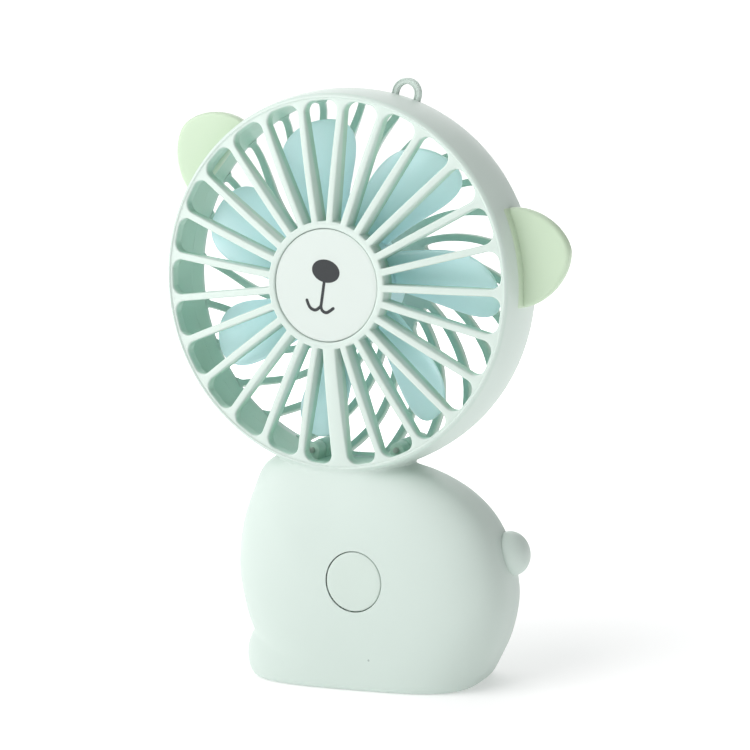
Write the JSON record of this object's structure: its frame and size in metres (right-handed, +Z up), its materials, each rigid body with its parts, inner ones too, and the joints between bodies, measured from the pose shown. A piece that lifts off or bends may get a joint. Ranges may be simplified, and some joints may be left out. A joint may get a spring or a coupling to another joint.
{
  "type": "handheld electric fan",
  "caption": "Small rechargeable fan shaped like a sitting bear: round grilled head with ears, bladed impeller, puffy body that stands on its base, press button.",
  "frame": {"origin": "on the base face, under the head's axis, at the body's mid-depth", "axes": "+Z up, -Y to the fan's front, +X to the bear's back where the tail is"},
  "size_m": [0.1159, 0.0364, 0.1624],
  "materials": {
    "shell_mint": "fine satin ABS, pale mint",
    "tail_mint": "fine satin ABS, pale mint",
    "face_white": "satin ABS disc, very pale mint",
    "print_black": "pad-printed black ink",
    "ear_green": "satin ABS, pale yellow green",
    "button_mint": "satin ABS, pale mint",
    "blade_blue": "translucent-looking light blue polypropylene",
    "plunger_black": "black nylon",
    "switch_steel": "stamped tin-plated frame",
    "board_green": "solder-masked glass laminate",
    "chip_black": "moulded epoxy",
    "socket_steel": "nickel-plated shell",
    "led_clear": "clear epoxy with a light pipe",
    "cell_foil": "laminated aluminium pouch",
    "pad_foam": "black closed-cell foam",
    "wire_red": "insulated lead",
    "can_zinc": "zinc-plated deep-drawn steel",
    "cap_nylon": "black nylon",
    "magnet_ferrite": "sintered ferrite",
    "bush_bronze": "sintered bronze",
    "brush_copper": "beryllium copper strip",
    "shaft_steel": "ground steel",
    "core_iron": "laminated electrical steel",
    "winding_copper": "enamelled copper wire",
    "commutator_copper": "copper segments",
    "screw_zinc": "zinc-plated self-tapping screws"
  },
  "bodies": {
    "housing": {"front_shell": "shell_mint", "rear_shell": "shell_mint", "face_plate": "face_white", "left_ear": "ear_green", "right_ear": "ear_green", "tail": "tail_mint", "tact_switch": "switch_steel", "main_pcb": "board_green", "pcb_chips": "chip_black", "charge_socket": "socket_steel", "status_led": "led_clear", "battery_cell": "cell_foil", "battery_pad": "pad_foam", "battery_leads": "wire_red", "motor_can": "can_zinc", "motor_end_cap": "cap_nylon", "motor_magnets": "magnet_ferrite", "motor_bushes": "bush_bronze", "motor_brushes": "brush_copper", "motor_leads": "wire_red", "body_screws": "screw_zinc", "head_screws": "screw_zinc", "pcb_screws": "screw_zinc"},
    "rotor": {"impeller": "blade_blue", "motor_shaft": "shaft_steel", "motor_core": "core_iron", "motor_windings": "winding_copper", "commutator": "commutator_copper"},
    "button": {"power_button": "button_mint", "switch_plunger": "plunger_black"}
  },
  "joints": [
    {"name": "impeller_spin", "type": "hinge", "parent": "housing", "child": "rotor", "pos_m": [0, 0, 0.109], "axis": [0, 1, 0], "continuous": true},
    {"name": "button_press", "type": "slide", "parent": "housing", "child": "button", "axis": [0, 1, 0], "range_m": [0, 0.0004], "stiffness_N_per_m": 2000, "springref_m": -0.0001}
  ]
}
